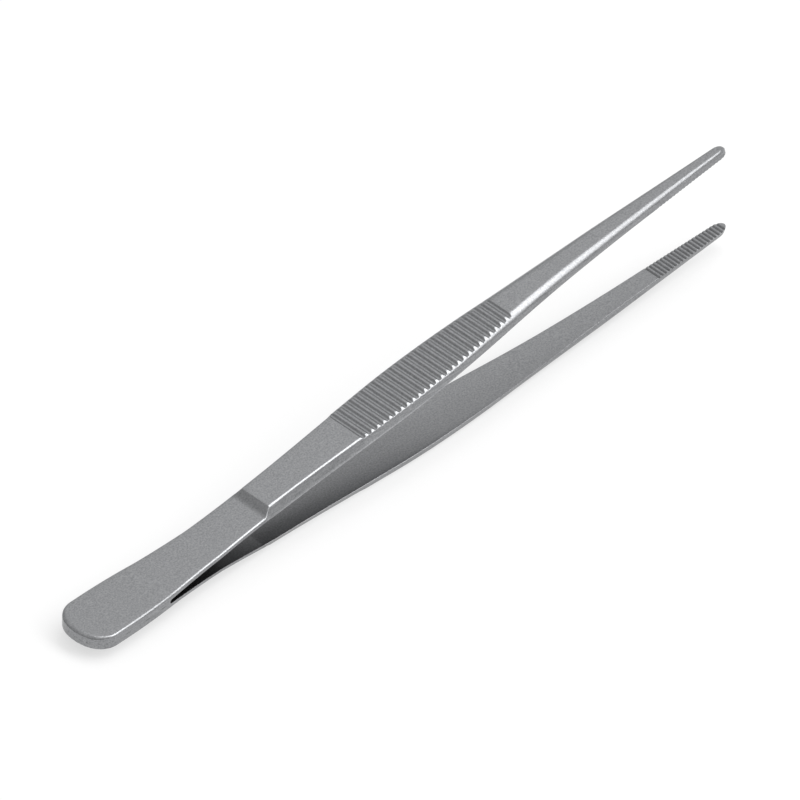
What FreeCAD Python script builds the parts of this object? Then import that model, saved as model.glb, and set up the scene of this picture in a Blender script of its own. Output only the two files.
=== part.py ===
import FreeCAD, Part
import math
import os

import Sketcher

# Thumb forceps, 145 mm, lying on one limb as on a table.
# Two stamped limbs are welded flat to flat at the butt and spring apart towards the tips.
# Each limb is a thin butt and spring blade that steps up into a thicker, drafted handle
# with grip grooves outside and fine cross serrations inside the jaws.
# Lengths are millimetres and angles degrees. +X runs to the tips, +Y across, +Z up.

SIZES = [
    # Butt: two blade ends welded face to face
    ("butt_half_width", 5.25),
    ("butt_thickness", 1.4),
    ("butt_end_radius", 8.0),
    ("butt_corner_radius", 4.1),
    ("butt_straight", 6.4),
    ("weld_length", 16.3),
    ("weld_slot_radius", 0.4),
    ("blade_edge_radius", 0.35),
    # Spring: the thin stretch between the weld and the step
    ("spring_flare_radius", 125.0),
    ("waist_half_width", 3.87),
    ("spring_thickness", 0.7),
    ("relief_angle", 2.3),
    ("relief_radius", 60.0),
    ("bend_run", 11.2),
    ("bend_radius", 30.0),
    ("step_foot_height", 3.0),
    ("step_radius", 2.3),
    ("step_sink", 0.05),
    ("tail_length", 2.0),
    ("tail_inset", 0.6),
    # Handle: how far each limb opens at the step, and how the jaws turn back to parallel
    ("strip_thickness", 1.72),
    ("jaw_thickness", 1.58),
    ("tip_thickness", 1.35),
    ("upper_handle_angle", 6.7),
    ("lower_handle_angle", 1.7),
    ("neck_turn", 1.35),
    ("shank_turn", 2.7),
    ("jaw_turn", 3.3),
    # Grip grooves across the outer face
    ("groove_count", 27),
    ("groove_pitch", 1.283),
    ("groove_start", 23.0),
    ("groove_width", 0.78),
    ("groove_floor", 0.34),
    ("groove_depth", 0.26),
    # Cross serrations on the inner face of the jaws
    ("serration_count", 23),
    ("serration_pitch", 0.74),
    ("serration_depth", 0.2),
    ("serration_half_width", 0.3),
    ("serration_end_gap", 0.75),
    # Tip
    ("tip_round_radius", 1.25),
    ("tip_nose_radius", 1.0),
]

# Cross sections of the handle. Each station gives its run from the one before, and the first from
# the spring's bend. Then come the half width of the flat inner face, the half width of the flat
# outer face and the shoulder radius, and the thickness that the section takes.
STATIONS = [
    ("step", 10.7, 3.95, 2.75, 0.29, "strip_thickness"),
    ("rise", 11.8, 4.10, 3.03, 0.29, "strip_thickness"),
    ("grip", 12.0, 4.41, 3.42, 0.33, "strip_thickness"),
    ("belly", 10.0, 4.58, 3.60, 0.45, "strip_thickness"),
    ("fade", 12.0, 4.21, 3.12, 0.76, "strip_thickness"),
    ("shoulder", 10.1, 3.58, 2.26, 1.00, "strip_thickness"),
    ("neck", 10.0, 2.82, 1.66, 1.02, "strip_thickness"),
    ("shank", 14.0, 2.00, 1.20, 0.82, "strip_thickness"),
    ("jaw", 13.1, 1.50, 0.92, 0.68, "jaw_thickness"),
    ("tip", 14.0, 1.08, 0.62, 0.56, "tip_thickness"),
]
STATION_PARTS = ("run", "inner_half", "outer_half", "shoulder_radius")

# The grip form runs straight from the first station to this one, and the jaw form on from it.
GRIP_END = "shoulder"

# The inward turn of the inner face on the run that ends at each of the last stations.
TURNS = {"neck": "neck_turn", "shank": "shank_turn", "jaw": "jaw_turn", "tip": "jaw_turn"}

# How far a cutting outline stands clear of the metal that it cuts.
CLEAR = 8.0

# How closely points are taken off the surface to find how the forceps rest.
FINE = 0.05

# Lengths below this count as nothing.
TINY = 1e-6

RIGHT = math.pi / 2

doc = FreeCAD.newDocument("thumb_forceps")


def make_sheet():
    """The sheet of driving dimensions, one alias to a size."""
    sheet = doc.addObject("Spreadsheet::Sheet", "sizes")
    rows = list(SIZES)
    for name, *values, _ in STATIONS:
        rows += [(name + "_" + part, value) for part, value in zip(STATION_PARTS, values)]
    for row, (alias, value) in enumerate(rows, start=1):
        sheet.set("A%d" % row, alias)
        sheet.set("B%d" % row, str(value))
        sheet.setAlias("B%d" % row, alias)
    doc.recompute()
    return sheet


def size(alias):
    """The value of one size."""
    return float(getattr(sheet, alias))


def new_body(name):
    """An empty body."""
    return doc.addObject("PartDesign::Body", name)


def origin_item(body, role):
    """One of the body's own origin planes or axes."""
    return [item for item in body.Origin.OriginFeatures if item.Role == role][0]


def new_sketch(body, name, role):
    """An empty sketch on an origin plane of the body."""
    sketch = body.newObject("Sketcher::SketchObject", name)
    sketch.AttachmentSupport = [(origin_item(body, role), "")]
    sketch.MapMode = "FlatFace"
    return sketch


def bind(sketch, name, expression, *constraint):
    """A named dimension of the sketch, driven by an expression on the sheet."""
    index = sketch.addConstraint(Sketcher.Constraint(*constraint))
    sketch.renameConstraint(index, name)
    sketch.setExpression(".Constraints." + name, expression)


def tie(sketch, *constraint):
    """A geometric constraint without a dimension."""
    sketch.addConstraint(Sketcher.Constraint(*constraint))


def path(sketch, start, legs):
    """A closed outline from start. A leg is an end point, or a point on an arc and its end point.
    Returns (geometry, first end, last end) of each leg."""
    items = []
    here = FreeCAD.Vector(*start, 0)
    for leg in legs:
        points = [FreeCAD.Vector(*p, 0) for p in leg]
        if len(leg) == 1:
            items.append((sketch.addGeometry(Part.LineSegment(here, points[0])), 1, 2))
        else:
            index = sketch.addGeometry(Part.Arc(here, *points))
            forward = sketch.getPoint(index, 1).distanceToPoint(here) < TINY
            items.append((index, 1, 2) if forward else (index, 2, 1))
        here = points[-1]
    return items


def join(sketch, items, smooth=()):
    """Joins the outline's legs end to end. A leg listed in smooth runs on tangent into the next."""
    for number, (leg, _, end) in enumerate(items):
        following, begin, _ = items[(number + 1) % len(items)]
        tie(sketch, "Tangent" if number in smooth else "Coincident", leg, end, following, begin)


def pocket(body, name, sketch):
    """Cuts the outline through the whole body, both ways."""
    cut = body.newObject("PartDesign::Pocket", name)
    cut.Profile = sketch
    cut.Type = "ThroughAll"
    cut.SideType = "Symmetric"
    sketch.Visibility = False
    return cut


# Blade: butt and spring. The butt end is at X = 0 and the weld plane at Z = 0.

STEP_PLACE = "sizes.weld_length + sizes.bend_run + sizes.step_run"
STEP_INNER = "sizes.step_foot_height - sizes.spring_thickness"
BEND_HEIGHT = ("sizes.butt_thickness + sizes.bend_run * tan(sizes.relief_angle * 1 deg)"
               " - sizes.relief_radius * (1 / cos(sizes.relief_angle * 1 deg) - 1)")


def blade_outline(body):
    """Half of the blade in plan: rounded butt end, flare, waist and a tail inside the handle."""
    sketch = new_sketch(body, body.Name + "_outline", "XY_Plane")
    half, waist = size("butt_half_width"), size("waist_half_width")
    end, corner = size("butt_end_radius"), size("butt_corner_radius")
    straight, flare = size("butt_straight"), size("spring_flare_radius")
    step = size("weld_length") + size("bend_run") + size("step_run")
    tail = step + size("tail_length")
    tail_half = waist - size("tail_inset")
    reach = ((end - corner) ** 2 - (half - corner) ** 2) ** 0.5
    scale = end / (end - corner)
    knuckle = (end - reach * scale, (half - corner) * scale)
    run, drop = step - straight, half - waist
    share = flare / ((run ** 2 + drop ** 2) / (2 * drop))
    turn = (straight + run * share, half - drop * share)
    legs = [
        [(knuckle[0] * 0.25, knuckle[1] * 0.5), knuckle],
        [(end - reach - corner * 0.5, half - corner * 0.14), (end - reach, half)],
        [(straight, half)],
        [((straight + turn[0]) / 2, half - drop * share / 4), turn],
        [((step + turn[0]) / 2, waist + (turn[1] - waist) / 4), (step, waist)],
        [(tail, tail_half)],
        [(tail, 0)],
        [(0, 0)],
    ]
    items = path(sketch, (0, 0), legs)
    join(sketch, items, smooth=(0, 1, 2, 3))
    butt, knuckle_arc, side, flare_arc, waist_arc, dive, close, axis = [item[0] for item in items]
    tie(sketch, "Coincident", axis, 2, -1, 1)
    tie(sketch, "Horizontal", axis)
    tie(sketch, "Vertical", close)
    tie(sketch, "Horizontal", side)
    tie(sketch, "PointOnObject", butt, 3, -1)
    tie(sketch, "Vertical", waist_arc, 3, waist_arc, items[4][2])
    bind(sketch, "end_radius", "sizes.butt_end_radius", "Radius", butt, end)
    bind(sketch, "corner_radius", "sizes.butt_corner_radius", "Radius", knuckle_arc, corner)
    bind(sketch, "flare_radius", "sizes.spring_flare_radius", "Radius", flare_arc, flare)
    bind(sketch, "half_width", "sizes.butt_half_width", "DistanceY", -1, 1, side, 2, half)
    bind(sketch, "straight", "sizes.butt_straight", "DistanceX", -1, 1, side, 2, straight)
    bind(sketch, "step_place", STEP_PLACE, "DistanceX", -1, 1, dive, 1, step)
    bind(sketch, "waist", "sizes.waist_half_width", "DistanceY", -1, 1, dive, 1, waist)
    bind(sketch, "tail_place", STEP_PLACE + " + sizes.tail_length", "DistanceX", -1, 1, dive, 2, tail)
    bind(sketch, "tail_half", "sizes.waist_half_width - sizes.tail_inset",
         "DistanceY", -1, 1, dive, 2, tail_half)
    return sketch


def blade_top(body):
    """What is cut away above the blade: flat butt, relief slope, bend and spring up to the step."""
    sketch = new_sketch(body, body.Name + "_top", "XZ_Plane")
    thick, weld = size("butt_thickness"), size("weld_length")
    slope = math.radians(size("relief_angle"))
    bend = weld + size("bend_run")
    step = bend + size("step_run")
    foot = size("step_foot_height")
    relief_end = (weld + size("relief_radius") * slope, thick + size("relief_radius") * slope ** 2 / 2)
    bend_height = relief_end[1] + (bend - relief_end[0]) * slope
    rise = (foot - bend_height) / (step - bend)
    radius = size("bend_radius")
    bend_end = (bend + radius * (rise - slope), bend_height + radius * (rise ** 2 - slope ** 2) / 2)
    sag = radius * (rise - slope) ** 2 / 8
    far = step + size("tail_length") + CLEAR
    legs = [
        [(weld, thick)],
        [((weld + relief_end[0]) / 2, (3 * thick + relief_end[1]) / 4), relief_end],
        [(bend, bend_height)],
        [((bend + bend_end[0]) / 2, (bend_height + bend_end[1]) / 2 - sag), bend_end],
        [(step, foot)],
        [(far, foot + (far - step) * rise)],
        [(far, CLEAR)],
        [(-CLEAR, CLEAR)],
        [(-CLEAR, thick)],
    ]
    items = path(sketch, (-CLEAR, thick), legs)
    join(sketch, items, smooth=(0, 1, 2, 3))
    flat, relief, slope_line, bend_arc, spring, tail, right, top, left = [item[0] for item in items]
    tie(sketch, "Horizontal", flat)
    tie(sketch, "Horizontal", top)
    tie(sketch, "Vertical", left)
    tie(sketch, "Vertical", right)
    tie(sketch, "Parallel", spring, tail)
    tie(sketch, "DistanceY", -1, 1, top, 1, CLEAR)
    tie(sketch, "DistanceX", left, 1, -1, 1, CLEAR)
    bind(sketch, "thick", "sizes.butt_thickness", "DistanceY", -1, 1, flat, 2, thick)
    bind(sketch, "weld", "sizes.weld_length", "DistanceX", -1, 1, flat, 2, weld)
    bind(sketch, "relief_radius", "sizes.relief_radius", "Radius", relief, size("relief_radius"))
    bind(sketch, "slope", "sizes.relief_angle * 1 deg", "Angle", slope_line, slope)
    bind(sketch, "bend_place", "sizes.weld_length + sizes.bend_run", "DistanceX", -1, 1, slope_line, 2, bend)
    bind(sketch, "bend_radius", "sizes.bend_radius", "Radius", bend_arc, radius)
    bind(sketch, "step_place", STEP_PLACE, "DistanceX", -1, 1, spring, 2, step)
    bind(sketch, "foot", "sizes.step_foot_height", "DistanceY", -1, 1, spring, 2, foot)
    bind(sketch, "far", STEP_PLACE + " + sizes.tail_length + %g" % CLEAR, "DistanceX", -1, 1, tail, 2, far)
    return sketch


def blade_gap(body):
    """What is cut away below the blade: the round slot end at the weld, then the sprung gap."""
    sketch = new_sketch(body, body.Name + "_gap", "XZ_Plane")
    weld, slot = size("weld_length"), size("weld_slot_radius")
    thin = size("spring_thickness")
    bend = weld + size("bend_run")
    step = bend + size("step_run")
    inner = size("step_foot_height") - thin
    bend_inner = size("butt_thickness") + size("bend_run") * math.radians(size("relief_angle")) - thin
    tail = step + size("tail_length")
    tail_inner = inner + thin / 2
    radius = size("bend_radius") + thin
    far = tail + CLEAR
    slope = (bend_inner - slot) / (bend - weld)
    rise = (inner - bend_inner) / (step - bend)
    bend_end = (bend + radius * (rise - slope), bend_inner + radius * (rise ** 2 - slope ** 2) / 2)
    sag = radius * (rise - slope) ** 2 / 8
    legs = [
        [(weld, 0)],
        [(weld + slot * 0.3, slot * 0.7), (weld + slot, slot)],
        [(bend, bend_inner)],
        [((bend + bend_end[0]) / 2, (bend_inner + bend_end[1]) / 2 - sag), bend_end],
        [(step, inner)],
        [(tail, tail_inner)],
        [(far, tail_inner)],
        [(far, -CLEAR)],
        [(weld, -CLEAR)],
    ]
    items = path(sketch, (weld, -CLEAR), legs)
    join(sketch, items, smooth=(0, 1, 2, 3))
    wall, slot_arc, relief, bend_arc, spring, tail_line, level, right, bottom = [i[0] for i in items]
    tie(sketch, "Vertical", wall)
    tie(sketch, "Vertical", right)
    tie(sketch, "Horizontal", level)
    tie(sketch, "Horizontal", bottom)
    tie(sketch, "PointOnObject", wall, 2, -1)
    tie(sketch, "DistanceY", wall, 1, -1, 1, CLEAR)
    bind(sketch, "weld", "sizes.weld_length", "DistanceX", -1, 1, wall, 2, weld)
    bind(sketch, "slot", "sizes.weld_slot_radius", "Radius", slot_arc, slot)
    bind(sketch, "bend_place", "sizes.weld_length + sizes.bend_run", "DistanceX", -1, 1, relief, 2, bend)
    bind(sketch, "bend_inner", BEND_HEIGHT + " - sizes.spring_thickness",
         "DistanceY", -1, 1, relief, 2, bend_inner)
    bind(sketch, "bend_radius", "sizes.bend_radius + sizes.spring_thickness", "Radius", bend_arc, radius)
    bind(sketch, "step_place", STEP_PLACE, "DistanceX", -1, 1, spring, 2, step)
    bind(sketch, "inner", STEP_INNER, "DistanceY", -1, 1, spring, 2, inner)
    bind(sketch, "tail_place", STEP_PLACE + " + sizes.tail_length", "DistanceX", -1, 1, tail_line, 2, tail)
    bind(sketch, "tail_inner", STEP_INNER + " + sizes.spring_thickness / 2",
         "DistanceY", -1, 1, tail_line, 2, tail_inner)
    bind(sketch, "far", STEP_PLACE + " + sizes.tail_length + %g" % CLEAR, "DistanceX", -1, 1, level, 2, far)
    return sketch


def outer_edges(shape):
    """Names of the side edges between the upward faces and the side walls."""
    upward = [face for face in shape.Faces if face.normalAt(*middle(face)).z > 0.5]
    names = []
    for number, edge in enumerate(shape.Edges, start=1):
        beside = sum(1 for face in upward for other in face.Edges if other.isSame(edge))
        straight_across = edge.BoundBox.XLength < TINY
        if beside == 1 and not straight_across:
            names.append("Edge%d" % number)
    return names


def middle(face):
    """The middle of a face's parameter range."""
    low_u, high_u, low_v, high_v = face.ParameterRange
    return (low_u + high_u) / 2, (low_v + high_v) / 2


def make_blade(name):
    """Butt and spring of one limb, weld face down at Z = 0."""
    body = new_body(name)
    pad = body.newObject("PartDesign::Pad", name + "_half")
    pad.Profile = blade_outline(body)
    pad.setExpression("Length", "sizes.step_foot_height + sizes.butt_thickness")
    mirror = body.newObject("PartDesign::Mirrored", name + "_whole")
    mirror.Originals = [pad]
    mirror.MirrorPlane = (origin_item(body, "XZ_Plane"), [""])
    body.Tip = mirror
    pocket(body, name + "_above", blade_top(body))
    below = pocket(body, name + "_below", blade_gap(body))
    doc.recompute()
    soft = body.newObject("PartDesign::Fillet", name + "_soft")
    soft.Base = (below, outer_edges(below.Shape))
    soft.setExpression("Radius", "sizes.blade_edge_radius")
    return body


# Handle: step, grip and jaw, in its own frame. X runs along the flat inner face from the step.


def on_round(centre, radius, turn):
    """The point on a round at a turn from the X direction."""
    return centre[0] + radius * math.cos(turn), centre[1] + radius * math.sin(turn)


def section(body, number):
    """One drafted cross section: flat inner face, slanted side walls, round shoulders, flat top."""
    name, _, inner, outer, shoulder, thickness = STATIONS[number]
    thick = size(thickness)
    sketch = new_sketch(body, "%s_%s" % (body.Name, name), "YZ_Plane")
    if number:
        sketch.setExpression(".AttachmentOffset.Base.z", place(number))
        sketch.setExpression(".AttachmentOffset.Base.y", height(number))
    centre = outer, thick - shoulder
    rise = FreeCAD.Vector(outer - inner, thick - shoulder, 0)
    facing = rise.getAngle(FreeCAD.Vector(1, 0, 0)) - math.acos(-shoulder / rise.Length)
    low_x, low_z = on_round(centre, shoulder, facing)
    mid_x, mid_z = on_round(centre, shoulder, (facing + RIGHT) / 2)
    legs = [
        [(inner, 0)],
        [(low_x, low_z)],
        [(mid_x, mid_z), (outer, thick)],
        [(-outer, thick)],
        [(-mid_x, mid_z), (-low_x, low_z)],
        [(-inner, 0)],
    ]
    items = path(sketch, (-inner, 0), legs)
    join(sketch, items, smooth=(1, 2, 3, 4))
    floor, right, right_round, roof, left_round, left = [item[0] for item in items]
    tie(sketch, "PointOnObject", floor, 1, -1)
    tie(sketch, "Symmetric", floor, 1, floor, 2, -2)
    tie(sketch, "Symmetric", roof, 1, roof, 2, -2)
    tie(sketch, "Equal", right_round, left_round)
    bind(sketch, "inner", "sizes.%s_inner_half" % name, "DistanceX", -1, 1, floor, 2, inner)
    bind(sketch, "outer", "sizes.%s_outer_half" % name, "DistanceX", -1, 1, roof, 1, outer)
    bind(sketch, "thick", "sizes." + thickness, "DistanceY", -1, 1, roof, 1, thick)
    bind(sketch, "shoulder", "sizes.%s_shoulder_radius" % name, "Radius", right_round, shoulder)
    return sketch


def place(number):
    """Expression for a station's place along the handle."""
    return " + ".join("sizes.%s_run" % name for name, *_ in STATIONS[1:number + 1])


def height(number):
    """Expression for the inner face's height at a station, down from the line of the step."""
    turned = [name for name, *_ in STATIONS[:number + 1] if name in TURNS]
    drops = ["sizes.%s_run * tan(sizes.%s * 1 deg)" % (name, TURNS[name]) for name in turned]
    return "-(" + " + ".join(drops) + ")" if drops else "0"


def move(sketch, along="0", up="0"):
    """Moves a sketch in its own plane by two expressions."""
    sketch.setExpression(".AttachmentOffset.Base.x", along)
    sketch.setExpression(".AttachmentOffset.Base.y", up)


def step_cut(body):
    """What is cut away behind the step: a hollow riser up from the foot."""
    sketch = new_sketch(body, body.Name + "_step_cut", "XZ_Plane")
    move(sketch, up="sizes.spring_thickness - sizes.step_sink")
    radius = size("step_radius")
    legs = [
        [(0, 0)],
        [(radius * 0.7, radius * 0.3), (radius, radius)],
        [(radius, CLEAR)],
        [(-CLEAR, CLEAR)],
        [(-CLEAR, 0)],
    ]
    items = path(sketch, (-CLEAR, 0), legs)
    join(sketch, items, smooth=(0, 1))
    low, riser, front, top, back = [item[0] for item in items]
    tie(sketch, "Coincident", low, 2, -1, 1)
    tie(sketch, "Horizontal", low)
    tie(sketch, "Vertical", front)
    tie(sketch, "Horizontal", top)
    tie(sketch, "Vertical", back)
    tie(sketch, "DistanceX", low, 1, -1, 1, CLEAR)
    tie(sketch, "DistanceY", -1, 1, top, 1, CLEAR)
    bind(sketch, "riser", "sizes.step_radius", "Radius", riser, radius)
    return sketch


def tip_end_cut(body):
    """What is cut away round the tip in plan."""
    sketch = new_sketch(body, body.Name + "_tip_plan", "XY_Plane")
    move(sketch, along=place(len(STATIONS) - 1))
    radius = size("tip_round_radius")
    legs = [
        [(0, 0), (-radius, radius)],
        [(-radius, CLEAR)],
        [(CLEAR, CLEAR)],
        [(CLEAR, -CLEAR)],
        [(-radius, -CLEAR)],
        [(-radius, -radius)],
    ]
    items = path(sketch, (-radius, -radius), legs)
    join(sketch, items)
    end, far_side, far, front, near, near_side = [item[0] for item in items]
    tie(sketch, "PointOnObject", end, 3, -1)
    tie(sketch, "Vertical", end, 3, far_side, 1)
    tie(sketch, "Vertical", far_side)
    tie(sketch, "Vertical", near_side)
    tie(sketch, "Vertical", front)
    tie(sketch, "Horizontal", far)
    tie(sketch, "Horizontal", near)
    tie(sketch, "DistanceX", -1, 1, front, 1, CLEAR)
    tie(sketch, "DistanceY", -1, 1, front, 1, CLEAR)
    tie(sketch, "DistanceY", front, 2, -1, 1, CLEAR)
    bind(sketch, "round", "sizes.tip_round_radius", "Radius", end, radius)
    bind(sketch, "back", "sizes.tip_round_radius", "DistanceX", end, 3, -1, 1, radius)
    return sketch


def tip_nose_cut(body):
    """What is cut away over the outer corner of the tip, seen from the side."""
    sketch = new_sketch(body, body.Name + "_tip_nose", "XZ_Plane")
    move(sketch, place(len(STATIONS) - 1), height(len(STATIONS) - 1) + " + sizes.tip_thickness")
    radius = size("tip_nose_radius")
    legs = [
        [(-radius * 0.3, -radius * 0.3), (0, -radius)],
        [(CLEAR, -radius)],
        [(CLEAR, CLEAR)],
        [(-radius, CLEAR)],
        [(-radius, 0)],
    ]
    items = path(sketch, (-radius, 0), legs)
    join(sketch, items)
    nose, low, front, top, back = [item[0] for item in items]
    tie(sketch, "Horizontal", low)
    tie(sketch, "Vertical", front)
    tie(sketch, "Horizontal", top)
    tie(sketch, "Vertical", back)
    tie(sketch, "Vertical", nose, 3, back, 2)
    tie(sketch, "PointOnObject", low, 1, -2)
    tie(sketch, "PointOnObject", back, 2, -1)
    tie(sketch, "DistanceX", -1, 1, front, 1, CLEAR)
    tie(sketch, "DistanceY", -1, 1, top, 1, CLEAR)
    bind(sketch, "nose", "sizes.tip_nose_radius", "Radius", nose, radius)
    return sketch


def groove_cut(body):
    """One groove across the outer face, with a flat floor and slanted flanks."""
    sketch = new_sketch(body, body.Name + "_groove", "XZ_Plane")
    move(sketch, "sizes.groove_start", "sizes.strip_thickness")
    half, deep = size("groove_floor") / 2, size("groove_depth")
    mouth = size("groove_width") - half
    legs = [
        [(half, -deep)],
        [(mouth, deep)],
        [(-mouth, deep)],
        [(-half, -deep)],
    ]
    items = path(sketch, (-half, -deep), legs)
    join(sketch, items)
    floor, _, top, _ = [item[0] for item in items]
    tie(sketch, "Symmetric", floor, 1, floor, 2, -2)
    tie(sketch, "Symmetric", top, 1, top, 2, -2)
    bind(sketch, "floor", "sizes.groove_floor", "DistanceX", floor, 1, floor, 2, 2 * half)
    bind(sketch, "depth", "sizes.groove_depth", "DistanceY", floor, 2, -1, 1, deep)
    bind(sketch, "above", "sizes.groove_depth", "DistanceY", -1, 1, top, 1, deep)
    bind(sketch, "mouth", "2 * sizes.groove_width - sizes.groove_floor",
         "DistanceX", top, 2, top, 1, 2 * mouth)
    return sketch


def serration_cut(body):
    """One V notch across the inner face of the jaw, the one nearest the tip."""
    sketch = new_sketch(body, body.Name + "_serration", "XZ_Plane")
    last = len(STATIONS) - 1
    move(sketch, place(last), height(last))
    sketch.setExpression(".AttachmentOffset.Rotation.Angle", "-sizes.jaw_turn * 1 deg")
    half, deep = size("serration_half_width"), size("serration_depth")
    middle_x = -size("serration_end_gap") - half
    legs = [
        [(middle_x, deep)],
        [(middle_x + 2 * half, -deep)],
        [(middle_x - 2 * half, -deep)],
    ]
    items = path(sketch, (middle_x - 2 * half, -deep), legs)
    join(sketch, items)
    rise, fall, below = [item[0] for item in items]
    tie(sketch, "Horizontal", below)
    tie(sketch, "Equal", rise, fall)
    bind(sketch, "deep", "sizes.serration_depth", "DistanceY", -1, 1, rise, 2, deep)
    bind(sketch, "below", "sizes.serration_depth", "DistanceY", rise, 1, -1, 1, deep)
    bind(sketch, "width", "4 * sizes.serration_half_width", "DistanceX", rise, 1, fall, 2, 4 * half)
    bind(sketch, "end_gap", "sizes.serration_end_gap + sizes.serration_half_width",
         "DistanceX", rise, 2, -1, 1, -middle_x)
    return sketch


def row(body, name, cut, direction, pitch, count, backwards):
    """Repeats a cut in a straight row."""
    pattern = body.newObject("PartDesign::LinearPattern", name)
    pattern.Originals = [cut]
    pattern.Direction = direction
    pattern.Mode = "Spacing"
    pattern.setExpression("Offset", pitch)
    pattern.setExpression("Occurrences", count)
    pattern.Reversed = backwards
    body.Tip = pattern
    return pattern


def smooth_form(name, sections):
    """A solid that runs smoothly through the cross sections."""
    form = doc.addObject("Part::Loft", name)
    form.Sections = sections
    form.Solid = True
    form.MaxDegree = 3
    return form


def make_handle(name):
    """The handle of a limb in its own frame: drafted form, hollow riser, tip rounds, cut rows."""
    body = new_body(name)
    sections = [section(body, number) for number in range(len(STATIONS))]
    straight = [name for name, *_ in STATIONS].index(GRIP_END)
    form = doc.addObject("Part::Fuse", body.Name + "_form")
    form.Base = smooth_form(body.Name + "_grip", sections[:straight + 1])
    form.Tool = smooth_form(body.Name + "_jaw", sections[straight:])
    body.BaseFeature = form
    pocket(body, name + "_step", step_cut(body))
    pocket(body, name + "_end", tip_end_cut(body))
    pocket(body, name + "_nose", tip_nose_cut(body))
    groove = pocket(body, name + "_first_groove", groove_cut(body))
    along = (origin_item(body, "X_Axis"), [""])
    row(body, name + "_grooves", groove, along, "sizes.groove_pitch", "sizes.groove_count", False)
    outline = serration_cut(body)
    notch = pocket(body, name + "_last_serration", outline)
    row(body, name + "_serrations", notch, (outline, ["H_Axis"]),
        "sizes.serration_pitch", "sizes.serration_count", True)
    return body


def copy_of(item, name):
    """The same shape once more, to be placed by itself."""
    link = doc.addObject("App::Link", name)
    link.LinkedObject = item
    return link


def make_limb(name, blade, handle, angle):
    """One whole limb, weld face down: the blade and the handle, opened at the named angle."""
    grip = copy_of(handle, name + "_handle")
    grip.Placement = FreeCAD.Placement(FreeCAD.Vector(), FreeCAD.Rotation(FreeCAD.Vector(0, -1, 0), 1))
    grip.setExpression(".Placement.Base.x", STEP_PLACE)
    grip.setExpression(".Placement.Base.z", STEP_INNER)
    grip.setExpression(".Placement.Rotation.Angle", angle + " * 1 deg")
    limb = doc.addObject("Part::MultiFuse", name)
    limb.Shapes = [copy_of(blade, name + "_blade"), grip]
    limb.Label = name
    return limb


def lower_hull(points):
    """The underside of the points in side view, from butt to tips."""
    hull = []
    for x, z in sorted(points):
        while len(hull) > 1:
            (ax, az), (bx, bz) = hull[-2], hull[-1]
            if (bx - ax) * (z - az) > (bz - az) * (x - ax):
                break
            hull.pop()
        hull.append((x, z))
    return hull


def rest_rotation(limb):
    """The turn about Y that lays the limb's outer face on the ground under its own middle."""
    points = [(p.x, p.z) for p in limb.Shape.tessellate(FINE)[0]]
    hull = lower_hull(points)
    balance = limb.Shape.CenterOfGravity.x
    for (ax, az), (bx, bz) in zip(hull, hull[1:]):
        if bx > balance:
            return FreeCAD.Rotation(FreeCAD.Vector(bx - ax, 0, bz - az), FreeCAD.Vector(1, 0, 0))


def lay_down(upper, lower):
    """Turns the lower limb over onto the weld plane and lays both on the ground, middle at X = 0."""
    turned_over = FreeCAD.Rotation(FreeCAD.Vector(1, 0, 0), 180)
    lower.Placement = FreeCAD.Placement(FreeCAD.Vector(), turned_over)
    rest = rest_rotation(lower)
    upper.Placement = FreeCAD.Placement(FreeCAD.Vector(), rest)
    lower.Placement = FreeCAD.Placement(FreeCAD.Vector(), rest * turned_over)
    points = [p for limb in (upper, lower) for p in limb.Shape.tessellate(FINE)[0]]
    middle_x = (min(p.x for p in points) + max(p.x for p in points)) / 2
    lift = FreeCAD.Vector(-middle_x, 0, -min(p.z for p in points))
    upper.Placement = FreeCAD.Placement(lift, rest)
    lower.Placement = FreeCAD.Placement(lift, rest * turned_over)


def check(limbs):
    """Stops if any object failed or a limb is not one valid solid."""
    failed = [item.Name for item in doc.Objects if {"Invalid", "Error"} & set(item.State)]
    if failed:
        raise RuntimeError("failed: " + ", ".join(failed))
    for limb in limbs:
        shape = limb.Shape
        if shape.isNull() or not shape.isValid() or len(shape.Solids) != 1:
            raise RuntimeError("bad shape: " + limb.Label)
        print("%s %.1f mm3, %d faces" % (limb.Label, shape.Volume, len(shape.Faces)))


sheet = make_sheet()
blade = make_blade("blade")
handle = make_handle("handle")
limbs = [
    make_limb("upper_limb", blade, handle, "sizes.upper_handle_angle"),
    make_limb("lower_limb", blade, handle, "sizes.lower_handle_angle"),
]
doc.recompute()
check(limbs)
lay_down(*limbs)
os.makedirs("parts", exist_ok=True)
for limb in limbs:
    limb.Shape.exportStep("parts/%s.step" % limb.Label)
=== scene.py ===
import bmesh
import bpy
import math
import numpy as np
from mathutils import Matrix, Vector


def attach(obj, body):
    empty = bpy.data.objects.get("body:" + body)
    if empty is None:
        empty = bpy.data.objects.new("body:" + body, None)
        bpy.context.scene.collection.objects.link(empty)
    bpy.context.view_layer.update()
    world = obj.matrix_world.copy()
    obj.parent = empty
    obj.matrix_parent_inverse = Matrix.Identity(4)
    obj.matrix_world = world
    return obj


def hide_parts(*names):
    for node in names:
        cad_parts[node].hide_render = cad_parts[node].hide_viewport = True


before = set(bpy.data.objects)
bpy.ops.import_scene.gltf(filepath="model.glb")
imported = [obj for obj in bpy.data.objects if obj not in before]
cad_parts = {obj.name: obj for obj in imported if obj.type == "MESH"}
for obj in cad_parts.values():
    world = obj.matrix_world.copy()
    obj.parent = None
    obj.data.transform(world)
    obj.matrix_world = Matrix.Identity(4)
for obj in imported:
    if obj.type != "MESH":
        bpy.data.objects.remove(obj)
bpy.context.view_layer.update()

MM = 0.001

# Sizes are in millimetres and angles in radians. In a limb's own frame, X runs from the butt end to
# the tip, Y across, and Z outwards from the weld.

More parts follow.
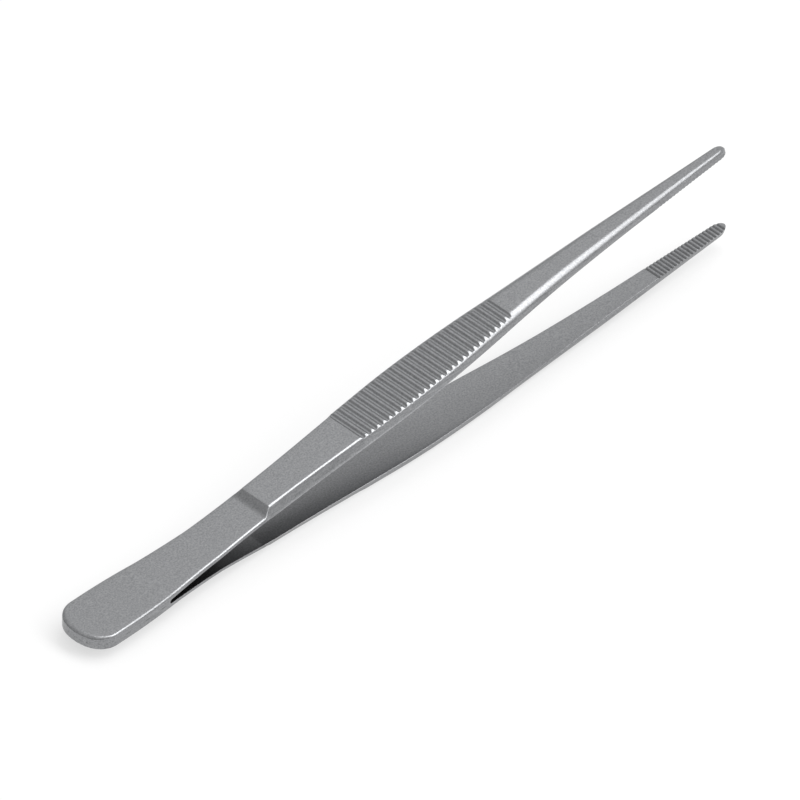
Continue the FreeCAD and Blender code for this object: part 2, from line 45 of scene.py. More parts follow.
# Butt: plan, thickness of one leaf, and the rounds of its edges.
BUTT_HALF = 5.3
BUTT_THICK = 1.27
END_ROUND = 8.0
CORNER_ROUND = 4.1
BUTT_STRAIGHT = 6.4
EDGE_ROUND = 0.35
END_LIP = 0.45
END_LIP_REACH = 1.4
END_LIP_RUN = 3.5

# Weld and the round end of the slot between the leaves.
WELD = 16.3
SLOT = 0.4

# Spring: plan, thickness, relief slope past the weld, bend and straight run up to the step.
FLARE_ROUND = 125.0
WAIST_HALF = 3.87
SPRING_THICK = 0.7
RELIEF = math.radians(3.1)
RELIEF_ROUND = 60.0
BEND = 27.5
BEND_ROUND = 30.0
STEP = 38.2
STEP_FOOT = 3.0

# Step: the hollow at the foot of its riser, and the riser's slope.
STEP_ROUND = 1.4
STEP_SLOPE = math.radians(34)

# Handle: run from the step, half width of the inner face, half width of the outer face, shoulder
# radius, thickness, and how far the inner face has turned inwards. The grip ends at GRIP_END's row.
STATIONS = np.array([
    (0.0, 3.95, 2.71, 0.36, 1.72, 0.0),
    (11.8, 4.10, 2.99, 0.36, 1.72, 0.0),
    (23.8, 4.41, 3.38, 0.40, 1.72, 0.0),
    (33.8, 4.58, 3.54, 0.56, 1.72, 0.0),
    (45.8, 4.21, 3.02, 0.95, 1.72, 0.0),
    (55.9, 3.58, 2.05, 1.42, 1.72, 0.0),
    (65.9, 2.82, 1.50, 1.34, 1.72, 0.2357),
    (79.9, 2.00, 1.08, 1.05, 1.72, 0.8959),
    (93.0, 1.55, 0.70, 0.76, 1.55, 1.56),
    (107.0, 1.10, 0.48, 0.34, 1.22, 2.26),
])
GRIP_END = 5
FULL_THICK = STATIONS[0, 4]
TIP = STATIONS[-1, 0]

# How much rounder the shoulder is next to the step and along the grooves.
SWELL_PLACES = (1.2, 2.2, 4.5, 8.0, 21.6, 22.6, 32.0, 50.0, 60.0)
SWELL = (0.0, 0.12, 0.06, 0.0, 0.0, 0.22, 0.20, 0.06, 0.0)

# Tip: its round in plan, its nose in profile, and the share of the thickness left at its end.
TIP_ROUND = 1.9
TIP_NOSE = 1.5
TIP_LIP = 0.35

# Broken edge of the inner face, and how fast it starts past the weld.
SHARP_EDGE = 0.06
SHARP_EDGE_START = 0.2

# How far each limb's handle leans from the weld plane. At rest the lower handle lies flat on the
# ground, so the weld plane is tipped by that limb's angle.
HANDLE_ANGLE = {"upper_limb": math.radians(6.7), "lower_limb": math.radians(1.7)}
REST_ANGLE = HANDLE_ANGLE["lower_limb"]
BUTT_PLACE = Vector((-72.6103, 0.0, 2.8857))

# Grooves across the outer face and serrations across the inner face of the jaws. The last number
# of each is painted shade: the share of light taken off a cut's floor. The corners of a cut are
# rounded by CUT_ROUND.
GROOVES = {"Start": 22.45, "Pitch": 1.299, "Count": 27,
           "Half mouth": 0.47, "Half floor": 0.14, "Depth": 0.27, "Floor shade": 0.0}
SERRATIONS = {"Start": 90.78, "Pitch": 0.768, "Count": 21,
              "Half mouth": 0.25, "Half floor": 0.03, "Depth": 0.15, "Floor shade": 0.48}
PLAIN_NUMBERS = ("Count", "Floor shade")
CUT_ROUND = 0.05

# How light the inner faces are drawn from the weld outwards: painted shade between the leaves,
# darkest near the weld, where they stand closest.
SHADE_PLACES = (16, 27, 35, 45, 60, 80)
SHADE_LEVELS = (0.30, 0.35, 0.55, 0.70, 0.85, 1.0)

# How much lighter the walls are drawn next to the inner edge: a painted sheen along that edge.
PAINTED_SHEEN_PLACES = (34, 44, 75, 100)
PAINTED_SHEEN_LEVELS = (1.0, 1.5, 1.5, 1.0)

# Points round half of a cross section.
FLAT, EDGE, WALL, ROUND, ROOF = 7, 4, 5, 14, 6

# How closely the butt's outline is sampled, and up to where.
OUTLINE_END = 8.0
NUDGE = 0.001

# Where the cross sections stand: the blade's last one this far before the step, close ones over
# the riser's run, even ones from there to the tip, some beside each cut, and none nearer to the
# next than the least spacing.
BEFORE_STEP = 0.3
RISER_RUN = 2.4
EVEN_START = 2.2
SERRATION_STEPS = (0, 0.04, 0.1, 0.15, 0.2, 0.25, 0.3)
LEAST_SPACING = 0.004

# Points nearer than MERGE become one, edges shorter than SLIVER go, and edges past the angle are
# shaded sharp.
MERGE = 0.0005
SLIVER = 0.0002
SHARP_ANGLE = math.radians(50)

# A depth that no cut reaches, in metres, for the points of the blade.
OUT_OF_REACH = 1.0


def linear(hex_colour):
    """An sRGB hex colour as linear RGBA."""
    parts = [int(hex_colour[i:i + 2], 16) / 255 for i in (0, 2, 4)]
    return [c / 12.92 if c <= 0.04045 else ((c + 0.055) / 1.055) ** 2.4 for c in parts] + [1.0]


def add_node(tree, kind, settings=None, inputs=None):
    """A node with its settings, and its inputs by name or number. An input is a value, an output
    socket, or another node, which stands for its first output."""
    node = tree.nodes.new(kind)
    for name, value in (settings or {}).items():
        setattr(node, name, value)
    for key, value in (inputs or {}).items():
        if isinstance(value, bpy.types.Node):
            value = value.outputs[0]
        if isinstance(value, bpy.types.NodeSocket):
            tree.links.new(value, node.inputs[key])
        else:
            node.inputs[key].default_value = value
    return node


# Butt and spring.

CORNER_PLACE = END_ROUND - math.sqrt((END_ROUND - CORNER_ROUND) ** 2
                                     - (BUTT_HALF - CORNER_ROUND) ** 2)
KNUCKLE = END_ROUND - (END_ROUND - CORNER_PLACE) * END_ROUND / (END_ROUND - CORNER_ROUND)
NARROWING = BUTT_HALF - WAIST_HALF
FLARE_TOTAL = ((STEP - BUTT_STRAIGHT) ** 2 + NARROWING ** 2) / (2 * NARROWING)
FLARE_END = BUTT_STRAIGHT + (STEP - BUTT_STRAIGHT) * FLARE_ROUND / FLARE_TOTAL
WAIST_ROUND = FLARE_TOTAL - FLARE_ROUND
RELIEF_END = WELD + RELIEF_ROUND * math.sin(RELIEF)
BEND_TOP = (BUTT_THICK + RELIEF_ROUND * (1 - math.cos(RELIEF))
            + (BEND - RELIEF_END) * math.tan(RELIEF))
BEND_INNER = BEND_TOP - SPRING_THICK


def sag(radius, run):
    """How far an arc has left its tangent after a run."""
    return radius - math.sqrt(max(radius ** 2 - run ** 2, 0.0))


def blade_half(x):
    """Half width of butt and spring in plan."""
    if x < KNUCKLE:
        return math.sqrt(END_ROUND ** 2 - (END_ROUND - x) ** 2)
    if x < CORNER_PLACE:
        return BUTT_HALF - sag(CORNER_ROUND, CORNER_PLACE - x)
    if x < FLARE_END:
        return BUTT_HALF - sag(FLARE_ROUND, max(x - BUTT_STRAIGHT, 0.0))
    return WAIST_HALF + sag(WAIST_ROUND, STEP - x)


def sprung(x, start, radius, end):
    """Height past the bend: a round out of the relief slope, then straight to the step."""
    centre = BEND - radius * math.sin(RELIEF), start + radius * math.cos(RELIEF)
    reach = STEP - centre[0], end - centre[1]
    slope = math.atan2(reach[1], reach[0]) + math.asin(radius / math.hypot(*reach))
    if x < centre[0] + radius * math.sin(slope):
        return centre[1] - math.sqrt(radius ** 2 - (x - centre[0]) ** 2)
    return end - (STEP - x) * math.tan(slope)


def blade_top(x):
    """Height of the outer face of butt and spring."""
    if x < RELIEF_END:
        return BUTT_THICK + sag(RELIEF_ROUND, max(x - WELD, 0.0))
    if x < BEND:
        return BEND_TOP - (BEND - x) * math.tan(RELIEF)
    return sprung(x, BEND_TOP, BEND_ROUND, STEP_FOOT)


def blade_inner(x):
    """Height of the inner face: the weld plane, the round slot end, then the sprung gap."""
    if x < WELD:
        return 0.0
    if x < WELD + SLOT:
        return math.sqrt(SLOT ** 2 - (SLOT - (x - WELD)) ** 2)
    if x < BEND:
        return SLOT + (BEND_INNER - SLOT) * (x - WELD - SLOT) / (BEND - WELD - SLOT)
    return sprung(x, BEND_INNER, BEND_ROUND + SPRING_THICK, STEP_FOOT - SPRING_THICK)


def half_section(inner, outer, shoulder, thick, edge):
    """Half a cross section as (across, out) points, from the middle of the inner face to the
    middle of the outer one: flat, broken edge, slanted wall, round shoulder, flat."""
    centre = np.array((outer, thick - shoulder))
    corner = np.array((inner, 0.0))
    rise = centre - corner
    facing = math.atan2(rise[1], rise[0]) - math.acos(-shoulder / math.hypot(*rise))
    foot = centre + shoulder * np.array((math.cos(facing), math.sin(facing)))
    wall_start = corner + (foot - corner) * edge / math.hypot(*(foot - corner))
    flat_end = corner - (edge, 0)
    points = [flat_end * t for t in np.linspace(0, 1, FLAT)]
    for t in np.linspace(0, 1, EDGE + 2)[1:-1]:
        points.append((1 - t) ** 2 * flat_end + 2 * t * (1 - t) * corner + t ** 2 * wall_start)
    points += [wall_start + (foot - wall_start) * t for t in np.linspace(0, 1, WALL)]
    for turn in np.linspace(facing, math.pi / 2, ROUND)[1:]:
        points.append(centre + shoulder * np.array((math.cos(turn), math.sin(turn))))
    points += [np.array((outer * t, thick)) for t in np.linspace(1, 0, ROOF)[1:]]
    return np.array(points)


def butt_outline():
    """Closely spaced points on one side of the butt's outline in plan."""
    end = KNUCKLE * np.linspace(0, 1, 25) ** 2
    places = np.concatenate((end, np.linspace(KNUCKLE, OUTLINE_END, 400)))
    return np.array([(x, blade_half(x)) for x in places])


OUTLINE = butt_outline()


def round_butt_end(points, x, half, thick):
    """Moves the shoulder and roof points of a section near the butt end so that the edge's round
    follows the outline there, and reaches further in over the end, as polishing leaves it."""
    slope = (blade_half(x + NUDGE) - blade_half(max(x - NUDGE, 0.0))) / (2 * NUDGE)
    spread = math.hypot(1, slope)
    lip = max(1 - x / END_LIP_RUN, 0.0) ** 2
    reach = EDGE_ROUND + (END_LIP_REACH - EDGE_ROUND) * lip
    fall = EDGE_ROUND + (END_LIP - EDGE_ROUND) * lip
    first = FLAT + EDGE + WALL - 1
    last = first + ROUND
    away = np.minimum((half - points[first:last, 0]) * spread * reach / EDGE_ROUND, half)
    points[first:last, 0] = half - away
    points[last:, 0] = np.linspace(points[last - 1, 0], 0, ROOF)[1:]
    for number in range(first, len(points)):
        gap = np.min(np.hypot(OUTLINE[:, 0] - x, OUTLINE[:, 1] - points[number, 0]))
        inside = 1 - min(gap / reach, 1.0)
        points[number, 1] = thick - fall * (1 - math.sqrt(1 - inside ** 2))


def blade_section(x):
    """Half a cross section of butt or spring."""
    half, low = blade_half(x), blade_inner(x)
    thick = blade_top(x) - low
    edge = min(SHARP_EDGE, max(x - WELD, 0.0) * SHARP_EDGE_START)
    points = half_section(half, half - EDGE_ROUND, EDGE_ROUND, thick, edge)
    if x < CORNER_PLACE:
        round_butt_end(points, x, half, thick)
    points[:, 0] = np.maximum(points[:, 0], 0.0)
    return points + (0, low)


# Handle.

def through(x, places, values):
    """A smooth curve through the values at their places."""
    slopes = np.gradient(values, places, edge_order=2)
    index = int(np.clip(np.searchsorted(places, x, side="right") - 1, 0, len(places) - 2))
    run = places[index + 1] - places[index]
    t = (x - places[index]) / run
    start, end = values[index], values[index + 1]
    between = (start - end) * (2 * t ** 3 - 3 * t ** 2) + start
    steer = (t ** 3 - 2 * t ** 2 + t) * slopes[index] + (t ** 3 - t ** 2) * slopes[index + 1]
    return between + run * steer


def station(x):
    """Inner half, outer half, shoulder, thickness and inward turn of the handle at x."""
    rows = STATIONS[:GRIP_END + 1] if x <= STATIONS[GRIP_END, 0] else STATIONS[GRIP_END:]
    return [through(x, rows[:, 0], rows[:, column]) for column in range(1, 6)]


def riser_top(x):
    """Height of the step's riser: a hollow round off the spring, then a straight slope."""
    foot = STEP_ROUND * math.sin(STEP_SLOPE)
    if x < foot:
        return SPRING_THICK + sag(STEP_ROUND, x)
    return SPRING_THICK + sag(STEP_ROUND, foot) + (x - foot) * math.tan(STEP_SLOPE)


def handle_section(x):
    """Half a cross section of the handle, with the riser of the step and the rounds of the tip."""
    inner, outer, shoulder, thick, drop = station(x)
    shoulder += np.interp(x, SWELL_PLACES, SWELL)
    rise = (riser_top(x) - SPRING_THICK) / (thick - SPRING_THICK)
    if rise < 1:
        inner = WAIST_HALF + (inner - WAIST_HALF) * rise
        outer = WAIST_HALF - EDGE_ROUND + (outer + EDGE_ROUND - WAIST_HALF) * rise
        thick = riser_top(x)
    points = half_section(inner, outer, shoulder, thick, SHARP_EDGE) - (0, drop)
    to_go = TIP - x
    if to_go < TIP_NOSE:
        fall = 1 - math.sqrt(1 - (1 - to_go / TIP_NOSE) ** 2)
        points[:, 1] = (points[:, 1] + drop) * (1 - (1 - TIP_LIP) * fall) - drop
    if to_go < TIP_ROUND:
        points[:, 0] *= math.sqrt(1 - (1 - to_go / TIP_ROUND) ** 2)
    return points


# Surface of a limb.

def cut_places(cut, steps):
    """Where cross sections stand for a row of cuts: at each cut's middle and at steps beside it."""
    middles = cut["Start"] + cut["Pitch"] * np.arange(cut["Count"])
    return [middle + side * step for middle in middles for step in steps for side in (-1, 1)]


def blade_places():
    """Places of the cross sections from the butt end to just before the step."""
    turn = math.asin((CORNER_PLACE - KNUCKLE) / CORNER_ROUND)
    places = list(KNUCKLE * np.linspace(0, 1, 12) ** 2)
    places += list(CORNER_PLACE - CORNER_ROUND * np.sin(np.linspace(0, 1, 22)[1:-1] * turn))
    places += [WELD + SLOT * share for share in (0.02, 0.08, 0.2, 0.4, 0.7, 1.0)]
    for start, end, count in ((CORNER_PLACE, BUTT_STRAIGHT, 5), (BUTT_STRAIGHT, WELD, 12),
                              (WELD + SLOT, BEND, 14), (BEND, STEP - BEFORE_STEP, 18)):
        places += list(np.linspace(start, end, count))
    return sorted(set(np.round(places, 5)))


def handle_places():
    """Places of the cross sections from the step to the tip."""
    places = list(np.linspace(0, RISER_RUN, 29))
    places += list(np.linspace(EVEN_START, TIP - TIP_ROUND, 140))
    for reach in (TIP_ROUND, TIP_NOSE):
        places += [TIP - reach * (1 - math.cos(turn)) for turn in np.linspace(0, math.pi / 2, 12)]
    mouth, floor = GROOVES["Half mouth"], GROOVES["Half floor"]
    steps = [0, (mouth + floor) / 2]
    steps += [corner + side * CUT_ROUND for corner in (floor, mouth) for side in (-1, 0, 1)]
    places += cut_places(GROOVES, steps) + cut_places(SERRATIONS, SERRATION_STEPS)
    kept = []
    for place in sorted(set(np.round(places, 4))):
        if not kept or place - kept[-1] > LEAST_SPACING:
            kept.append(place)
    return kept


def shades(x, count):
    """How light the metal is drawn at each point of a half section: painted shade on the inner
    face, then a painted sheen on the broken edge and the foot of the wall, then the rest."""
    level = float(np.interp(x, SHADE_PLACES, SHADE_LEVELS))
    # Painted sheen on the broken edge and the foot of the wall.
    painted_sheen = float(np.interp(x, PAINTED_SHEEN_PLACES, PAINTED_SHEEN_LEVELS))
    return [level] * FLAT + [painted_sheen] * (EDGE + 1) + [1.0] * (count - FLAT - EDGE - 1)


def blade_row(x):
    """Points of a half section of the blade, with what the cuts and the finish read there."""
    half = blade_section(x)
    far = [OUT_OF_REACH] * len(half)
    values = {"along": [-OUT_OF_REACH] * len(half), "under": far, "over": far,
              "shade": shades(x, len(half))}
    return [(x, y, z) for y, z in half], values


def handle_row(x, angle):
    """The same for the handle. Along, under and over are metres from the step, below the outer
    face and above the inner face."""
    half = handle_section(x)
    drop = station(x)[-1]
    cos, sin = math.cos(angle), math.sin(angle)
    points = [(STEP + x * cos - z * sin, y, STEP_FOOT - SPRING_THICK + x * sin + z * cos)
              for y, z in half]
    values = {"along": [x * MM] * len(half), "under": [(FULL_THICK - z) * MM for _, z in half],
              "over": [(z + drop) * MM for _, z in half], "shade": shades(STEP + x, len(half))}
    return points, values


def closed_rings(rows, mirror=1):
    """Half sections closed to rings: each half, then its inner points back again, mirrored."""
    rows = np.array(rows)
    return np.concatenate((rows, rows[:, 1:-1][:, ::-1] * mirror), axis=1)


def limb_mesh(name):
    """One limb as a grid of cross sections in its own frame, turned to rest on the ground."""
    rows = [blade_row(x) for x in blade_places()]
    rows += [handle_row(x, HANDLE_ANGLE[name]) for x in handle_places()]
    rings = closed_rings([points for points, _ in rows], (1, -1, 1))
    count, size = rings.shape[:2]
    faces = [(row * size + column, row * size + (column + 1) % size,
              (row + 1) * size + (column + 1) % size, (row + 1) * size + column)
             for row in range(count - 1) for column in range(size)]
    points = rings.reshape(-1, 3)
    if name == "lower_limb":
        points = points * (1, -1, -1)
    cos, sin = math.cos(REST_ANGLE), math.sin(REST_ANGLE)
    x = points[:, 0] * cos - points[:, 2] * sin + BUTT_PLACE.x
    z = points[:, 0] * sin + points[:, 2] * cos + BUTT_PLACE.z
    mesh = bpy.data.meshes.new(name + "_grid")
    mesh.from_pydata((np.stack((x, points[:, 1], z), axis=1) * MM).tolist(), [], faces)
    for key in ("along", "under", "over", "shade"):
        flat = closed_rings([values[key] for _, values in rows]).ravel().astype(np.float32)
        mesh.attributes.new(key, "FLOAT", "POINT").data.foreach_set("value", flat)
    return mesh


# What the cuts' nodes work out at each point: result, operation, and the values it takes, each a
# number, an input of the tree, a stored attribute or an earlier result.
CUT_RECIPE = (
    ("last", "SUBTRACT", "Count", 1.0),
    ("run", "SUBTRACT", "along", "Start"),
    ("pitches", "DIVIDE", "run", "Pitch"),
    ("number", "ROUND", "pitches"),
    ("not before first", "MAXIMUM", "number", 0.0),
    ("nearest", "MINIMUM", "not before first", "last"),
    ("middle", "MULTIPLY_ADD", "nearest", "Pitch", "Start"),
    ("beside", "SUBTRACT", "along", "middle"),
    ("gap", "ABSOLUTE", "beside"),
    ("flank width", "SUBTRACT", "Half mouth", "Half floor"),
    ("steepness", "DIVIDE", "Depth", "flank width"),
    ("inside mouth", "SUBTRACT", "Half mouth", "gap"),
    ("flank", "MULTIPLY", "inside mouth", "steepness"),
    ("floored", "SMOOTH_MIN", "flank", "Depth", "Corner"),
    ("cut", "SMOOTH_MAX", "floored", 0.0, "Corner"),
    ("missing", "SUBTRACT", "cut", "depth here"),
    ("push", "MAXIMUM", "missing", 0.0),
    # The last rows draw painted shade into the stored shade, most where the cut is deepest.
    ("share", "DIVIDE", "push", "Depth"),
    ("light lost", "MULTIPLY", "share", "Floor shade"),
    ("light kept", "SUBTRACT", 1.0, "light lost"),
    ("floor_shaded", "MULTIPLY", "shade", "light kept"),
)


def cross_cuts():
    """Geometry nodes that press a row of cuts into a limb: where a point lies shallower than the
    cut at its place, it moves in as far as the cut's floor or flank."""
    tree = bpy.data.node_groups.new("cross_cuts", "GeometryNodeTree")
    sockets = [("Geometry", "Geometry"), ("Depth from", "String"), ("Into the metal", "Vector"),
               ("Start", "Float"), ("Pitch", "Float"), ("Count", "Int"),
               ("Half mouth", "Float"), ("Half floor", "Float"), ("Depth", "Float"),
               ("Floor shade", "Float"), ("Corner", "Float"), ("Finish", "Material")]
    for label, kind in sockets:
        tree.interface.new_socket(label, in_out="INPUT", socket_type="NodeSocket" + kind)
    tree.interface.new_socket("Geometry", in_out="OUTPUT", socket_type="NodeSocketGeometry")
    given = add_node(tree, "NodeGroupInput").outputs

    found = {label: given[label] for label, _ in sockets}
    stored = ("along", "along"), ("shade", "shade"), ("depth here", given["Depth from"])
    for result, name in stored:
        found[result] = add_node(tree, "GeometryNodeInputNamedAttribute",
                                 {"data_type": "FLOAT"}, {"Name": name})
    for result, operation, *values in CUT_RECIPE:
        inputs = {place: found.get(value, value) for place, value in enumerate(values)}
        found[result] = add_node(tree, "ShaderNodeMath", {"operation": operation}, inputs)

    offset = add_node(tree, "ShaderNodeVectorMath", {"operation": "SCALE"},
                      {"Vector": given["Into the metal"], "Scale": found["push"]})
    moved = add_node(tree, "GeometryNodeSetPosition", None,
                     {"Geometry": given["Geometry"], "Offset": offset})
    # The stored shade takes the cut's painted shade.
    floor_shaded = add_node(tree, "GeometryNodeStoreNamedAttribute",
                      {"data_type": "FLOAT", "domain": "POINT"},
                      {"Geometry": moved, "Name": "shade", "Value": found["floor_shaded"]})
    solid = add_node(tree, "GeometryNodeRealizeInstances", None, {"Geometry": floor_shaded})
    coated = add_node(tree, "GeometryNodeSetMaterial", None,
                      {"Geometry": solid, "Material": given["Finish"]})
    add_node(tree, "NodeGroupOutput", None, {"Geometry": coated})
    return tree


def press_cuts(piece, name, tree, finish):
    """Presses grooves and serrations into the piece and leaves the result as its plain mesh."""
    side = 1 if name == "upper_limb" else -1
    lean = REST_ANGLE + side * HANDLE_ANGLE[name]
    outward = Vector((-math.sin(lean), 0, math.cos(lean))) * side
    for depth_from, direction, cut in (("under", -outward, GROOVES), ("over", outward, SERRATIONS)):
        modifier = piece.modifiers.new(depth_from, "NODES")
        modifier.node_group = tree
        given = {"Depth from": depth_from, "Into the metal": direction, "Corner": CUT_ROUND * MM,
                 "Finish": finish}
        for label, value in cut.items():
            given[label] = value if label in PLAIN_NUMBERS else value * MM
        for socket in tree.interface.items_tree:
            if socket.in_out == "INPUT" and socket.name in given:
                modifier[socket.identifier] = given[socket.name]
    graph = bpy.context.evaluated_depsgraph_get()
    pressed = bpy.data.meshes.new_from_object(piece.evaluated_get(graph))
    piece.modifiers.clear()
    piece.data = pressed


def make_limb(name, tree, finish):
    """The limb's finished surface, which stands in for the node of the same name."""
    piece = bpy.data.objects.new(name + "_surface", limb_mesh(name))
    bpy.context.scene.collection.objects.link(piece)
    press_cuts(piece, name, tree, finish)
    shell = bmesh.new()
    shell.from_mesh(piece.data)
    bmesh.ops.remove_doubles(shell, verts=shell.verts, dist=MERGE * MM)
    bmesh.ops.dissolve_degenerate(shell, edges=shell.edges, dist=SLIVER * MM)
    bmesh.ops.recalc_face_normals(shell, faces=shell.faces)
    for face in shell.faces:
        face.smooth = True
    shell.to_mesh(piece.data)
    shell.free()
    piece.data.set_sharp_from_angle(angle=SHARP_ANGLE)
    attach(piece, "root")
    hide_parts(name)


# Finish.

# The size of the blasted grain and the spacing of the polishing lines on the walls. Real grain is
# about a tenth of a millimetre, too fine to show in the render, so it is drawn coarser.
GRAIN = 0.28
STREAK = 0.22
STREAK_STRETCH = 0.03
GRAIN_HEIGHT = 0.02
DARK_GRAIN = "6f7072"
LIGHT_GRAIN = "b6b7b9"

# A face counts as a flat one from the upper of these slants, and as a side wall up to the lower.
WALL_SLANT, FLAT_SLANT = 0.55, 0.75


def satin_stainless_steel():
    """Stainless steel, bead blasted. The eye sees an even grey with a fine grain on the flats,
    faint lengthwise polishing lines on the slanted walls, and a crisp white line where a round
    shoulder faces the light. Painted shade draws the walls a little darker and the undersides
    darker still, and the stored shade adds painted shade between the leaves and a painted sheen by
    the edges."""
    material = bpy.data.materials.new("satin_stainless_steel")
    material.use_nodes = True
    tree = material.node_tree
    shader = tree.nodes["Principled BSDF"]
    shader.inputs["Metallic"].default_value = 1.0
    shader.inputs["Roughness"].default_value = 0.32

    place = add_node(tree, "ShaderNodeTexCoord").outputs["Object"]
    grain = add_node(tree, "ShaderNodeTexNoise", None,
                     {"Vector": place, "Scale": 1 / (GRAIN * MM), "Detail": 2.0, "Roughness": 0.6})
    blasted = add_node(tree, "ShaderNodeMix", {"data_type": "RGBA"},
                       {"Factor": grain.outputs["Fac"]})
    blasted.inputs["A"].default_value = linear(DARK_GRAIN)
    blasted.inputs["B"].default_value = linear(LIGHT_GRAIN)

    facing = add_node(tree, "ShaderNodeNewGeometry").outputs["Normal"]
    upright = add_node(tree, "ShaderNodeSeparateXYZ", None, {"Vector": facing}).outputs["Z"]
    slant = add_node(tree, "ShaderNodeMath", {"operation": "ABSOLUTE"}, {0: upright})
    by_slant = {"Value": slant, "From Min": WALL_SLANT, "From Max": FLAT_SLANT}
    flats = add_node(tree, "ShaderNodeMapRange", None, by_slant)
    # Painted shade: the side walls are drawn a little darker than the flats.
    painted_wall_shade = add_node(tree, "ShaderNodeMapRange", None, by_slant | {"To Min": 0.89, "To Max": 1.0})
    # Painted shade: faces that look down are drawn darker, the more so the further they turn down.
    painted_underside_shade = add_node(tree, "ShaderNodeMapRange", None,
                         {"Value": upright, "From Min": -0.5, "From Max": -0.1,
                          "To Min": 0.72, "To Max": 1.0})

    stretched = add_node(tree, "ShaderNodeMapping", None,
                         {"Vector": place, "Scale": (STREAK_STRETCH, 1.0, 1.0)})
    streaks = add_node(tree, "ShaderNodeTexNoise", None,
                       {"Vector": stretched, "Scale": 1 / (STREAK * MM), "Detail": 1.0})
    polished = add_node(tree, "ShaderNodeMapRange", None,
                        {"Value": streaks.outputs["Fac"], "From Min": 0.3, "From Max": 0.7,
                         "To Min": 0.88, "To Max": 1.12})
    level = add_node(tree, "ShaderNodeMix", None, {0: flats, 2: polished, 3: 1.0})
    # The stored shade: painted shade between the leaves and on the serrations' floors, and a
    # painted sheen along the walls' inner edges.
    shade = add_node(tree, "ShaderNodeAttribute", {"attribute_name": "shade"}).outputs["Fac"]
    for factor in (painted_wall_shade, shade, painted_underside_shade):
        level = add_node(tree, "ShaderNodeMath", {"operation": "MULTIPLY"}, {0: level, 1: factor})
    tone = add_node(tree, "ShaderNodeVectorMath", {"operation": "SCALE"},
                    {0: blasted.outputs[2], "Scale": level})
    tree.links.new(tone.outputs[0], shader.inputs["Base Color"])
    bump = add_node(tree, "ShaderNodeBump", None,
                    {"Height": grain.outputs["Fac"], "Strength": 0.22,
                     "Distance": GRAIN_HEIGHT * MM})
    tree.links.new(bump.outputs["Normal"], shader.inputs["Normal"])
    return material


# Studio.

# Camera: the photograph's angle, from the butt's near side and above, far off with a long lens.
AIM = Vector((-0.898, -0.206, 9.961)) * MM
CAMERA_RIGHT = Vector((0.703697, -0.709659, 0.034560))
CAMERA_UP = Vector((0.440306, 0.473749, 0.762688))
CAMERA_DISTANCE = 5.5
CAMERA_SENSOR = 36
PICTURE_WIDTH = 125.72 * MM

# Floor: half its side in metres, its colour, and how much of its seen colour is plain white,
# whatever light falls on it.
FLOOR_HALF = 3.0
FLOOR_COLOUR = "f4f4f4"
FLOOR_GLOW = 0.6

# Key light: a long soft box above the tips' near side, in metres and watts.
KEY_PLACE = Vector((0.33, -0.37, 0.87))
KEY_SIZE = (0.45, 1.6)
KEY_POWER = 8.0

# World: light from all round, stronger towards one side and above.
SKY_TILT = (0.22, -0.06, 0.28)
SKY_LEVEL = 0.53


def make_camera():
    """The scene's camera."""
    data = bpy.data.cameras.new("camera")
    camera = bpy.data.objects.new("camera", data)
    bpy.context.scene.collection.objects.link(camera)
    bpy.context.scene.camera = camera
    back = CAMERA_RIGHT.cross(CAMERA_UP)
    turn = Matrix((CAMERA_RIGHT, CAMERA_UP, back)).transposed().to_4x4()
    camera.matrix_world = Matrix.Translation(AIM + back * CAMERA_DISTANCE) @ turn
    data.sensor_width = CAMERA_SENSOR
    data.lens = CAMERA_SENSOR * CAMERA_DISTANCE / PICTURE_WIDTH
    data.clip_start, data.clip_end = 0.1, 100


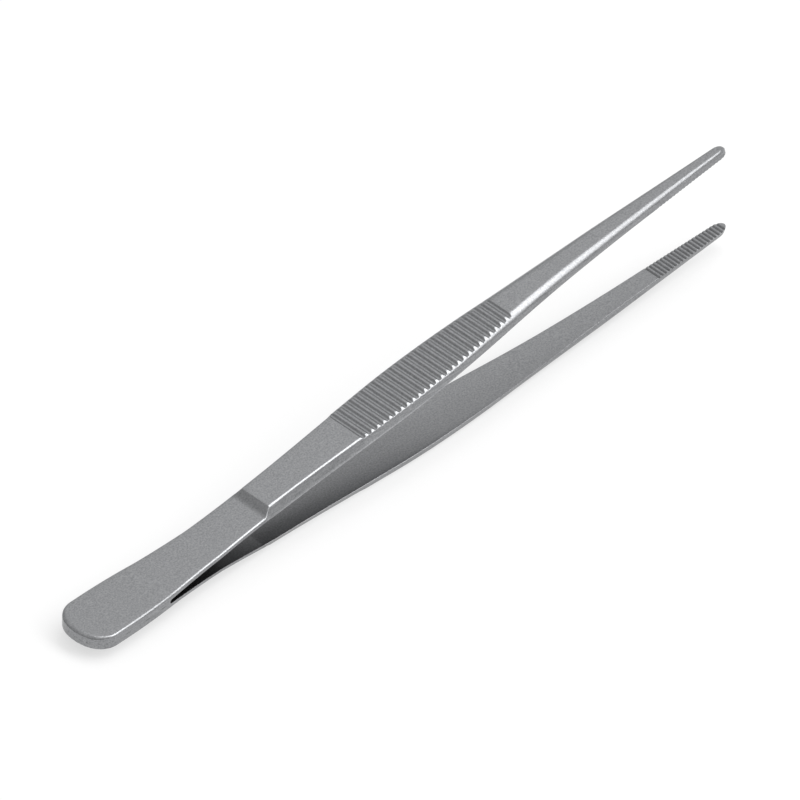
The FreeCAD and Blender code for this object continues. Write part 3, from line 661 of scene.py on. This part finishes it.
def matt_white_card():
    """White card: dull and even, and whiter to the eye than the light on it makes it."""
    material = bpy.data.materials.new("matt_white_card")
    material.use_nodes = True
    tree = material.node_tree
    shader = tree.nodes["Principled BSDF"]
    shader.inputs["Base Color"].default_value = linear(FLOOR_COLOUR)
    shader.inputs["Roughness"].default_value = 0.9
    ray = add_node(tree, "ShaderNodeLightPath").outputs
    seen = ray["Is Camera Ray"]
    for kind in ("Is Glossy Ray", "Is Transmission Ray"):
        seen = add_node(tree, "ShaderNodeMath", {"operation": "MAXIMUM"}, {0: seen, 1: ray[kind]})
    share = add_node(tree, "ShaderNodeMath", {"operation": "MULTIPLY"}, {0: seen, 1: FLOOR_GLOW})
    glow = add_node(tree, "ShaderNodeEmission", None, {"Color": (1, 1, 1, 1), "Strength": 1.0})
    mixed = add_node(tree, "ShaderNodeMixShader", None, {0: share, 1: shader, 2: glow})
    tree.links.new(mixed.outputs[0], tree.nodes["Material Output"].inputs["Surface"])
    return material


def make_floor():
    """The floor under the forceps."""
    mesh = bpy.data.meshes.new("floor")
    corners = [(x * FLOOR_HALF, y * FLOOR_HALF, 0) for x, y in ((-1, -1), (1, -1), (1, 1), (-1, 1))]
    mesh.from_pydata(corners, [], [(0, 1, 2, 3)])
    mesh.materials.append(matt_white_card())
    floor = bpy.data.objects.new("floor", mesh)
    bpy.context.scene.collection.objects.link(floor)


def make_key_light():
    """The soft box, facing the origin, with its short side along X."""
    data = bpy.data.lights.new("key", "AREA")
    data.shape = "RECTANGLE"
    data.size, data.size_y = KEY_SIZE
    data.energy = KEY_POWER
    lamp = bpy.data.objects.new("key", data)
    bpy.context.scene.collection.objects.link(lamp)
    back = KEY_PLACE.normalized()
    side = (Vector((1, 0, 0)) - back * back.x).normalized()
    turn = Matrix((side, back.cross(side), back)).transposed().to_4x4()
    lamp.matrix_world = Matrix.Translation(KEY_PLACE) @ turn


def make_world():
    """The light from all round."""
    world = bpy.data.worlds.new("studio")
    bpy.context.scene.world = world
    world.use_nodes = True
    tree = world.node_tree
    sky = tree.nodes["Background"]
    sky.inputs["Color"].default_value = (1, 1, 1, 1)
    direction = add_node(tree, "ShaderNodeTexCoord").outputs["Generated"]
    tilt = add_node(tree, "ShaderNodeVectorMath", {"operation": "DOT_PRODUCT"},
                    {0: direction, 1: SKY_TILT})
    level = add_node(tree, "ShaderNodeMath", {"operation": "ADD"},
                     {0: tilt.outputs["Value"], 1: SKY_LEVEL})
    tree.links.new(level.outputs[0], sky.inputs["Strength"])


make_camera()
make_floor()
make_world()
make_key_light()

steel = satin_stainless_steel()
cuts = cross_cuts()
for name in HANDLE_ANGLE:
    make_limb(name, cuts, steel)

bpy.context.scene.view_settings.view_transform = "Standard"
